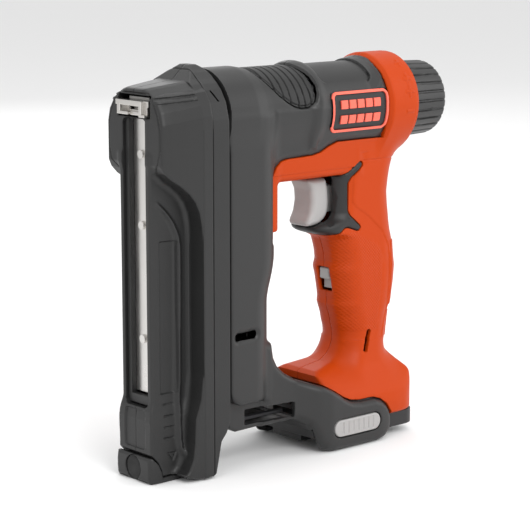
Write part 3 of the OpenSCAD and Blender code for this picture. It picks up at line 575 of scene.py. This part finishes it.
def f_orange(side):
    """One half of the orange handle."""
    def fn(x, y, z):
        u = f_all(x, y, z)
        ay = np.abs(y)
        # contour steps on the grip's side
        tex = poly(x, z, TEXTURE_REGION)
        sidewall = step(10 - ay, 6.0)
        u = u + 0.45 * step(tex, 0.6) * sidewall
        rear = poly(x, z, REAR_LINE)
        u = u + 0.45 * step(-rear, 0.6) * sidewall * (tex > 0) * (z > 60) * (z < 168)
        # raised pads on the back of the grip
        pad = np.maximum(np.minimum(np.abs(z - 99.5) - 20, np.abs(z - 67.5) - 8.4), 186.5 - x)
        u = u - 0.6 * step(pad, 0.9) * (x > 180)
        # line round the neck under the ring
        neck = np.abs(z - 171.0 + 0.03 * (x - 180)) - 0.5
        u = u + 0.4 * step(neck, 0.7) * (x > 160)
        if side < 0:
            u = u - 0.55 * step(ring_marks(x, y, z), 0.5) * (np.hypot(y, z - AXIS_Z) > 28)
        r = poly(x, z, ORANGE_REGION)
        d = smax(u, r + 0.16, 0.5)
        b = poly(x, z, BEZEL_REGION)
        d = smax(d, -b + 0.14, 0.4)
        hollow = u + SHELL
        # room above the base plate, which leaves a thinner wall all round it
        room = box(x, y, z, (126, -28.0, 6), (198.2, 28.0, 26))
        hollow = np.minimum(hollow, np.maximum(room, u + FOOT_WALL))
        # end of the barrel, and the hole for the knob's stem
        rr = np.hypot(y, z - AXIS_Z)
        hollow = np.minimum(hollow, np.maximum(rr - 27.0, np.maximum(170 - x, x - 194.5)))
        hollow = np.minimum(hollow, np.maximum(rr - 8.4, 190 - x))
        d = smax(d, -hollow, 0.4)
        # trigger well and lock switch window
        d = smax(d, -box(x, y, z, (118, -10.6, 131.6), (158, 10.6, 163.4)), 0.3)
        win = box(x, y, z, (136, -5.4, 90.6), (156, 5.4, 105.8), 1.6)
        d = smax(d, -win, 0.8)
        # slanted cooling slot
        zz, xx = z - 59.5, x - 166.5
        sl = slab(np.abs(xx * 0.956 - zz * 0.292) - 1.5, np.abs(zz * 0.956 + xx * 0.292) - 7.2, 1.4)
        d = smax(d, -np.maximum(sl, 13 - ay), 0.4)
        if side > 0:
            d = screw_pockets(d, x, y, z, SCREWS[3:])
        return halves(d, y, side)
    return fn


def f_bezel(x, y, z):
    """The dark Y-shaped piece round the trigger."""
    u = f_all(x, y, z) + 0.1
    b = poly(x, z, BEZEL_REGION)
    # crescent recess behind the trigger
    crescent = poly(x, z, [(136, 163), (141.6, 161), (144.4, 150), (143.2, 140), (139, 134), (136, 133)])
    u = u + 0.9 * step(crescent, 0.6) + 0.5 * step(np.abs(b + 0.5) - 0.4, 0.4)
    d = smax(u, b + 0.25, 0.5)
    d = smax(d, -np.maximum(u + 2.6, 147.5 - x), 0.3)
    well = box(x, y, z, (112, -10.0, 132.8), (158, 10.0, 170), 3.0)
    return smax(d, -well, 1.0)


def texture_mask(x, y, z):
    """1 where the grip has its woven texture."""
    t = poly(x, z, TEXTURE_REGION)
    return step(t + 1.2, 1.2) * np.clip((np.abs(y) - 4) / 5, 0, 1) * (z > 66) * (z < 128)


for side, word in ((-1, "left"), (1, "right")):
    ys = (-36, 0.6) if side < 0 else (-0.6, 36)
    build("body_" + word, f_dark(side), (49, ys[0], -1.5), (178, ys[1], 234), 0.8, "housing", DARK,
          ["body_shell_" + word])
    build("handle_" + word, f_orange(side), (87, ys[0], 13), (206, ys[1], 236), 0.75, "housing", ORANGE,
          ["handle_shell_" + word], mask=texture_mask)
build("bezel", f_bezel, (120, -21, 124), (161, 21, 172), 0.6, "housing", CHAR,
      ["trigger_bezel"])


# ---------------------------------------------------------------- front module
FACE = [(-60, -60), (25.4, -60), (25.4, 204), (23.7, 211), (19.3, 217.5), (11.5, 222.4), (8.5, 223.3),
        (-60, 223.3)]
CREST = [(-60, -60), (28.5, -60), (28.5, 199), (28.0, 205), (25.4, 214.4), (21, 221.1), (17.7, 224.4),
         (14.3, 227), (10.4, 230.3), (8.0, 231.8), (4.2, 234.5), (-60, 234.5)]
FRONT_LINE = [(-9, 221), (12, 220.6), (17, 216.6), (21, 209), (23, 202), (23.2, 190), (21, 182.5),
              (15, 176), (-9, 172)]
face_grow = soft([(3.5, -1.2), (5.5, -0.2), (10, 0.6), (20, 1.9), (30, 2.9), (40, 3.1)], 0.6)
face_rise = soft([(3.5, -0.9), (5.5, -0.1), (30, 2.8), (40, 3.6)], 0.6)
NOSE_SIDE = [(3.5, 181.5), (6, 177.2), (10.5, 173.0), (16, 169.4), (21.5, 164.8), (25.4, 160),
             (28.0, 154), (29.6, 146), (30, 136), (30, 62), (28.4, 47), (24.8, 36), (24.2, 22), (23, 13),
             (20.2, 7), (17.6, 4.4), (20, 2.4), (26, 1.4), (44, 1.4), (44, 240), (3.5, 240)]
ridge_x = soft([(2, 26.4), (10, 25.0), (19, 21.4), (28, 20.6), (35, 20.3), (60, 21.6), (127, 22.3),
                (136, 22.0), (141, 21.2), (149, 17.4), (155, 12.6), (160, 8)], 1.2)
column_half_y = soft([(3, 15.2), (14, 15.2), (24, 15.0), (32, 15.4), (40, 15.0), (46, 13.6), (160, 13.6),
                      (175, 13.8)], 2.0)
LOWER = [(9.6, 3.4), (8.9, 6.6), (6.4, 11.8), (3.2, 15.4), (1.7, 17), (1.5, 36), (2.2, 41.5), (3.5, 47),
         (3.5, 186), (29, 186), (29, 3.4)]


def f_module(x, y, z):
    """Outline of the whole front module; the covers and the rear band are cut from it."""
    ay = np.abs(y)
    face = poly(ay - face_grow(x), z - face_rise(x), FACE)
    a = slab(poly(x, z, NOSE_SIDE), face, 1.3)
    # line round the front face
    rim = np.abs(poly(ay, z, FRONT_LINE)) - 0.4
    a = a + 0.6 * step(rim, 0.5) * (x < 9)
    # faceted crest in front of the rear band
    slope = poly(x, z, [(29.6, -60), (29.6, 225.2), (30.4, 226.0), (39.6, 234.5), (60, 234.5), (60, -60)])
    crest = slab(np.maximum(slope, 30 - x), poly(ay, z, CREST), 0.7)
    crest = np.maximum(crest, poly(x, z, NOSE_SIDE))
    a = np.minimum(a, crest)
    # the narrow magazine column, with a ridge along the back of its side panel
    ridge = 2.2 * np.exp(-((x - ridge_x(z)) / 1.5) ** 2) * step(np.abs(z - 80) - 78, 6)
    inset = 1.1 * step(slab(np.abs(x - 15.2) - 5.6, np.abs(z - 94.5) - 43.5, 0.8), 0.8)
    b = slab(poly(x, z, LOWER), ay - column_half_y(z) - ridge + inset - 0.05 * (x - 4), 1.1)
    d = smin(a, b, 3.6)
    # two rails on the side near the top
    for zz in (220.0, 217.0):
        rail = np.maximum(np.abs(z - zz - 0.05 * (x - 20)) - 0.75, np.abs(x - 16.5) - 12.5)
        d = d - 0.8 * step(rail, 0.6) * (ay > 17)
    return d


def f_cover(side):
    """One half of the front cover."""
    def fn(x, y, z):
        d = f_module(x, y, z)
        ay = np.abs(y)
        d = smax(d, x - 36.85, 0.6)
        inner = box(x, y, z, (32.6, -26, 10), (60, 26, 204), 1.0)
        window = slab(ay - 10.6, np.maximum(43 - z, z - 206.5), 3.4)
        window = np.maximum(window, x - 9)
        chan = box(x, y, z, (7.5, -10.5, 0), (24.2, 10.5, 206))
        pocket = box(x, y, z, (-5, -14.5, 207.0), (60, 14.5, 219.6), 0.4)
        throat = box(x, y, z, (7.5, -8.2, 203), (24.2, 8.2, 210))
        under = box(x, y, z, (-5, -16.9, -5), (33.6, 16.9, 3.3))
        # shallow panel in the front face, below the window
        front = slab(ay - 9.2, np.abs(z - 30.2) - 11.2, 2.0)
        d = d + 0.9 * step(front, 0.5) * (x < 6)
        hole = np.minimum(np.minimum(window, chan), np.minimum(pocket, throat))
        hole = np.minimum(hole, np.minimum(inner, under))
        d = smax(d, -hole, 0.5)
        # scale lines and a pointer on the side
        marks = np.abs(np.mod(z - 22.05, 6.5) - 3.25) - 0.45
        marks = np.maximum(marks, np.maximum(np.abs(x - 14.4) - 3.4, np.abs(z - 35.0) - 12.0))
        tri = np.abs(poly(x, z, [(13.4, 16.4), (18.6, 16.4), (16.6, 12.4)])) - 0.4
        d = d + 0.55 * step(np.minimum(marks, tri), 0.6) * (ay > 12) * (ay < 18)
        return halves(d, y, side)
    return fn


def f_band(x, y, z):
    """Rear band of the front module."""
    ay = np.abs(y)
    prof = [(37.05, 1.4), (38.6, 2.6), (40.6, 11.9), (42.4, 20.6), (46.2, 25.2), (49.0, 31.4),
            (49.0, 228.4), (47.6, 232.2), (44.2, 234.5), (39.6, 234.5), (37.05, 232.2)]
    d = slab(poly(x, z, prof), poly(ay, z, CREST), 0.8)
    d = smax(d, -box(x, y, z, (30, -26, 10), (46.8, 26, 204)), 0.5)
    d = smax(d, -box(x, y, z, (30, -14.4, 203), (39, 14.4, 219.4)), 0.5)
    d = smax(d, -box(x, y, z, (30, -8, 205), (60, 8, 217.5)), 0.5)
    d = smax(d, -box(x, y, z, (30, -9.2, 207.2), (46.3, 9.2, 218.2)), 0.3)
    # seam along the top, and a small slanted slot on each side of it
    d = d + 0.6 * step(ay - 0.35, 0.5) * (z > 224)
    slot = np.abs(x - 42.3 + 0.5 * (z - 217.8)) - 0.6
    slot = np.maximum(slot, np.maximum(np.abs(z - 217.8) - 3.0, 17 - ay))
    d = smax(d, -slot, 0.3)
    for sz in (60, 150):
        rr = np.hypot(x - 42, z - sz)
        d = smin(d, np.maximum(rr - 5, np.maximum(16.5 - y, y - 27)), 0.6)
        d = smax(d, -np.maximum(rr - 3.15, 24.8 - y), 0.4)
        d = smax(d, -np.maximum(rr - 1.6, 17 - y), 0.2)
    return d


for side, word in ((-1, "left"), (1, "right")):
    ys = (-30, 0.6) if side < 0 else (-0.6, 30)
    build("cover_" + word, f_cover(side), (0.8, ys[0], 0.5), (38, ys[1], 236), 0.62, "housing", FRONT,
          ["nose_cover_" + word], sharp=32)
build("module_band", f_band, (36, -30, 0.5), (51, 30, 236), 0.7, "housing", FRONT,
      ["module_housing"], sharp=32)


# ---------------------------------------------------------------- controls and trim
trigger_front = soft([(131, 124.6), (133.6, 124.4), (136.5, 124.8), (141, 127.4), (148, 128.8),
                      (155, 128.2), (159, 126.0), (163, 124.6)], 1.0)
trigger_back = soft([(131, 139.5), (134, 140.2), (138, 142.2), (147, 143.0), (156, 142.2),
                     (162, 140.4)], 1.0)


def f_trigger(x, y, z):
    """The trigger, with a hollow for the finger and a stem that runs into the grip."""
    prof = np.maximum(trigger_front(z) - x + 0.006 * y * y, x - trigger_back(z))
    prof = smax(prof, (x - trigger_back(z)) * 0.62 + (135.6 - z) * 0.78 + 2.0, 4.0)
    d = slab(slab(prof, np.maximum(133.3 - z, z - 161.6), 2.2), np.abs(y) - 9.3, 3.4)
    stem = box(x, y, z, (138, -5, 140), (151, 5, 156), 0.6)
    return np.minimum(d, stem)


def f_knob(x, y, z):
    """Ribbed knob with a notched rim, a dished end and a grip bar across it."""
    rr = np.hypot(y, z - AXIS_Z)
    turn = np.arctan2(y, z - AXIS_Z) / (2 * np.pi)
    groove = 1.1 * step(np.abs(np.mod(turn * 26, 1) - 0.5) * 5.6 - 0.75, 0.5)
    body = rr - (23.8 - 0.035 * (x - 198)) + groove * (x > 201.5) * (rr > 20)
    d = smax(body, np.maximum(198.1 - x, x - 228.5), 1.2)
    d = smax(d, (rr - 23.2) * 0.7 + (x - 226.4) * 0.7, 0.8)
    # notched rim, then the dished end with its grip bar
    lugs = 0.9 * step(np.abs(np.mod(turn * 8, 1) - 0.5) * 2 - 0.5, 0.15)
    d = smax(d, -np.maximum(rr - 19.0 + 1.8 * lugs, 225.6 - x), 0.8)
    d = smax(d, -smax(rr - 17.0, 208.0 - x, 2.0), 0.8)
    bar = smax(np.abs(y) - 3.4, np.maximum(rr - 17.4, np.maximum(206 - x, x - 223.8)), 1.2)
    d = smin(d, bar, 1.6)
    stem = np.maximum(rr - 8.0, np.maximum(189 - x, x - 200))
    thin = np.maximum(rr - 6.5, np.maximum(177 - x, x - 190))
    return np.minimum(d, np.minimum(stem, thin))


CAP_SIDE = [(0, 2.0), (0, 13.6), (0.8, 15.0), (2.6, 15.0), (5.9, 11.5), (8.4, 6.3), (9.1, 3.0), (33, 3.0),
            (33, 0), (1.6, 0)]
cap_half = soft([(0, 14.6), (1.5, 16.4), (8, 16.8), (33, 16.6)], 0.5)


def f_cap(x, y, z):
    """End cap of the magazine."""
    half = cap_half(x) - 0.10 * np.maximum(6 - z, 0) - 0.16 * np.maximum(z - 10, 0)
    d = slab(poly(x, z, CAP_SIDE), np.abs(y) - half, 1.0)
    d = np.minimum(d, box(x, y, z, (4, -9.8, 1), (24, 9.8, 17), 0.3))
    return smax(d, -np.maximum(np.hypot(y, z - LATCH_Z) - 7.12, x - 8.3), 0.5)


def f_latch(x, y, z):
    """Dished round release in the end cap."""
    rr = np.hypot(y, z - LATCH_Z)
    d = smax(rr - 7.0, np.maximum(0.6 - x, x - 6), 0.4)
    return smax(d, -(np.sqrt((x + 5.2) ** 2 + rr ** 2) - 9.2), 0.5)


def f_pad(x, y, z):
    """Ribbed pad that follows the barrel."""
    rr = np.hypot(y, z - AXIS_Z)
    ang = np.degrees(np.arctan2(np.abs(y), z - AXIS_Z))
    out = pad_outline(x, ang)
    pitch = 4.82
    bent = x - 83.1 - 0.02 * np.maximum(ang - 30, 0) * (x > 100)
    groove = step(1.95 - np.abs(np.mod(bent, pitch) - pitch / 2), 0.5)
    rim = step(-out - 1.5, 0.6)
    top = 26.15 - 1.0 * groove - 0.8 * rim + 0.5 * step(np.abs(out + 0.5) - 0.5, 0.4)
    return smax(smax(rr - top, 24.2 - rr, 0.2), np.maximum(out + 0.1, 190 - z), 0.3)


def f_button(side):
    """Ribbed release button of one side."""
    def fn(x, y, z):
        ay = y * side
        st = slab(np.abs(x - BUTTON_X) - 18.7, np.abs(z - BUTTON_Z) - 5.1, 5.0)
        face = 35.1 - 0.0011 * (x - BUTTON_X) ** 2
        ribs = np.abs(np.mod((x - BUTTON_X) / 4.1 + 0.5, 1) - 0.5) * 4.1
        ribbed = step(np.abs(z - BUTTON_Z) - 3.7, 0.8) * step(np.abs(x - BUTTON_X) - 15.2, 0.5)
        d = slab(st, np.maximum(ay - face, 30.7 - ay), 0.9)
        return d + 0.45 * step(ribs - 0.55, 0.5) * ribbed * (ay > 33)
    return fn


def f_lock(x, y, z):
    """Stepped slider in the front of the grip."""
    d = box(x, y, z, (147.0, -4.3, 97.8), (152.6, 4.3, 105.2), 1.2)
    d = np.minimum(d, box(x, y, z, (150.4, -3.6, 92), (153, 3.6, 105.2), 0.3))
    return d


def f_plate(x, y, z):
    """Base plate with the battery's two rails under it."""
    edge = slab(x - 200, np.abs(y) - 28.0, 9.0)
    d = slab(np.maximum(edge, 113 - x), np.maximum(9 - z, z - 14), 0.7)
    rails = np.maximum(edge, np.maximum(128 - x, np.abs(np.abs(y) - 25) - 3))
    d = np.minimum(d, slab(rails, np.maximum(5 - z, z - 10), 0.5))
    d = smax(d, -np.maximum(np.abs(np.abs(y) - 23.2) - 2.2, np.maximum(7 - z, z - 9)), 0.2)
    return smax(d, -box(x, y, z, (116.9, -13, 7), (125.1, 13, 16)), 0.2)


def f_nose(x, y, z):
    """Folded bracket: top flange with one leg at the left and a longer hook at the right."""
    d = box(x, y, z, (1.2, -9.6, 213.6), (7, 13.6, 216.4), 0.3)
    d = np.minimum(d, box(x, y, z, (1.2, 9.6, 208.4), (3.4, 12.4, 216.4), 0.3))
    d = np.minimum(d, box(x, y, z, (1.2, 2.6, 208.4), (5.4, 12.4, 210.0), 0.3))
    d = np.minimum(d, box(x, y, z, (1.2, -9.6, 207.6), (3.4, -7.2, 216.4), 0.3))
    d = np.minimum(d, box(x, y, z, (1.2, -12.4, 207.6), (3.4, -7.2, 209.0), 0.3))
    plate = box(x, y, z, (3.4, -12.6, 208.2), (6.8, 12.6, 216.4), 0.3)
    d = np.minimum(d, smax(plate, -box(x, y, z, (-2, -7.2, 210.0), (5.6, 9.6, 213.6)), 0.2))
    arms = box(x, np.abs(y), z, (3.4, 11.3, 213.2), (30, 13.5, 216.4), 0.3)
    d = np.minimum(d, arms)
    return smax(d, -box(x, y, z, (-5, -6.4, 211.0), (30, 6.4, 212.8), 0.2), 0.2)


build("trigger_blade", f_trigger, (122, -11, 131), (153, 11, 163), 0.55, "trigger", GREY,
      ["trigger"])
build("knob", f_knob, (176, -25, 179), (230, 25, 229), 0.55, "depth_knob", KNOB,
      ["depth_knob"])
build("end_cap", f_cap, (-1, -18, -1), (34, 18, 18), 0.5, "magazine", FRONT,
      ["magazine_end_cap"])
build("latch_dish", f_latch, (-1, -8, -1), (7, 8, 16), 0.4, "magazine_latch", FRONT,
      ["magazine_latch"])
build("top_pad", f_pad, (78, -28, 200), (120, 28, 232), 0.45, "housing", CHAR,
      ["barrel_pad"])
for side, word in ((-1, "left"), (1, "right")):
    ys = (-36, -30) if side < 0 else (30, 36)
    build("release_" + word, f_button(side), (123, ys[0], 7), (165, ys[1], 20), 0.35,
          "release_" + word, GREY, ["release_button_" + word])
build("nose_bracket", f_nose, (0.5, -14, 207), (31, 14, 217), 0.3, "contact_nose", BRIGHT,
      ["contact_nose"])
build("lock_slider", f_lock, (145, -6, 90), (154, 6, 107), 0.4, "lock_switch", GREY,
      ["lock_switch"])
build("foot_plate", f_plate, (112, -29, 4), (205, 29, 15), 0.6, "housing", BLACK,
      ["base_plate"])


def f_badge_plate(x, y, z):
    """Dark field of the badge, bent round the barrel."""
    field = slab(np.abs(x - BADGE_X) - 22.8, np.abs(z - BADGE_Z) - 12.0, 2.9)
    rr = np.hypot(y, z - AXIS_Z)
    return np.maximum(np.maximum(field, rr - 27.5), np.maximum(26.2 - rr, y + 15))


def badge_lines(x, z):
    """A raised frame round two rows of plain bars: no lettering."""
    ring = np.abs(slab(np.abs(x - BADGE_X) - 21.9, np.abs(z - BADGE_Z) - 11.2, 3.4)) - 0.8
    bars = slab(np.abs(x - BADGE_X) - 16.6, np.abs(np.abs(z - BADGE_Z) - 4.4) - 2.5, 0.8)
    gap = np.abs(np.mod(x - BADGE_X, 6.6) - 3.3) - 0.7
    bars = np.maximum(bars, -gap)
    return np.minimum(ring, bars)


def f_badge(x, y, z):
    """Raised lines of the badge."""
    rr = np.hypot(y, z - AXIS_Z)
    return smax(badge_lines(x, z), np.maximum(rr - 28.45, 27.4 - rr), 0.2)


build("badge_field", f_badge_plate, (128, -29, 189), (174, -15, 216), 0.5, "housing", BLACK,
      ["badge_plate"])
build("badge_marks", f_badge, (128, -30, 189), (174, -15, 216), 0.35, "housing", SALMON,
      ["badge_frame"])

# ---------------------------------------------------------------- CAD pieces that stay
KEEP = {
    FRONT: ["channel_liner"],
    BRIGHT: ["guide_strip", "strip_rivets", "driver_blade", "lifter_axle"],
    SPRING: ["contact_springs", "pusher_spring", "mainspring", "trigger_spring"],
    STEEL: ["driver_guide", "magazine_rail", "hammer", "spring_seat", "lifter_wheel", "housing_screws"],
    BLACK: ["pusher", "gearbox_can", "trigger_switch", "terminal_block"],
    BLUED: ["gear_frame", "motor_can", "hex_key"],
    RUBBER: ["bumper"],
    BRASS: ["drive_pinion", "battery_terminals"],
    BOARD: ["circuit_board"],
}
for look, names in KEEP.items():
    for name in names:
        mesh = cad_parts[name].data
        for i in range(len(mesh.materials)):
            mesh.materials[i] = look
        if not mesh.materials:
            mesh.materials.append(look)

# ---------------------------------------------------------------- floor, light, camera
floor = bpy.data.meshes.new("floor")
bm = bmesh.new()
bmesh.ops.create_grid(bm, x_segments=2, y_segments=2, size=30)
bm.to_mesh(floor)
bm.free()
floor_ob = bpy.data.objects.new("floor", floor)
floor_ob.location = (0, 0, -0.0002)
bpy.context.scene.collection.objects.link(floor_ob)
pale = bpy.data.materials.new("pale_floor")
pale.use_nodes = True
pale_inputs = pale.node_tree.nodes["Principled BSDF"].inputs
pale_inputs["Base Color"].default_value = (0.86, 0.86, 0.86, 1)
pale_inputs["Roughness"].default_value = 0.85
floor_ob.data.materials.append(pale)


def area(name, where, aim, size, power):
    """Soft rectangular light that looks from one point at another, in metres and watts."""
    light = bpy.data.lights.new(name, "AREA")
    light.shape = "RECTANGLE"
    light.size, light.size_y = size
    light.energy = power
    ob = bpy.data.objects.new(name, light)
    ob.location = where
    ob.rotation_euler = (Vector(aim) - Vector(where)).to_track_quat("-Z", "Y").to_euler()
    bpy.context.scene.collection.objects.link(ob)


area("key", (-0.35, -1.5, 1.25), (0, 0, 0.12), (1.0, 1.0), 19)
area("top", (0.1, 0.1, 1.7), (0, 0, 0.1), (1.4, 1.4), 9)
area("right_fill", (1.5, -0.9, 0.7), (0, 0, 0.12), (1.0, 1.2), 6)
area("front_fill", (-1.7, 0.2, 0.5), (0, 0, 0.12), (0.8, 1.2), 3)
area("back", (0.6, 1.6, 0.9), (0, 0, 0.12), (1.2, 1.0), 5)

world = bpy.data.worlds.new("studio")
bpy.context.scene.world = world
world.use_nodes = True
sky = world.node_tree.nodes["Background"].inputs
sky["Color"].default_value = (1, 1, 1, 1)
sky["Strength"].default_value = 0.88

cam = bpy.data.cameras.new("camera")
cam.sensor_width = 36
cam.lens = 132.25
cam.clip_start = 0.05
cam_ob = bpy.data.objects.new("camera", cam)
right = Vector((0.75585, -0.65474, 0))
up = Vector((0.12044, 0.13904, 0.98294))
back = -Vector((0.64357, 0.74296, -0.18395))
turn = Matrix((right, up, back)).transposed().to_4x4()
cam_ob.matrix_world = Matrix.Translation((-0.7569, -0.8566, 0.3244)) @ turn
bpy.context.scene.collection.objects.link(cam_ob)
bpy.context.scene.camera = cam_ob
bpy.context.scene.view_settings.view_transform = "Standard"
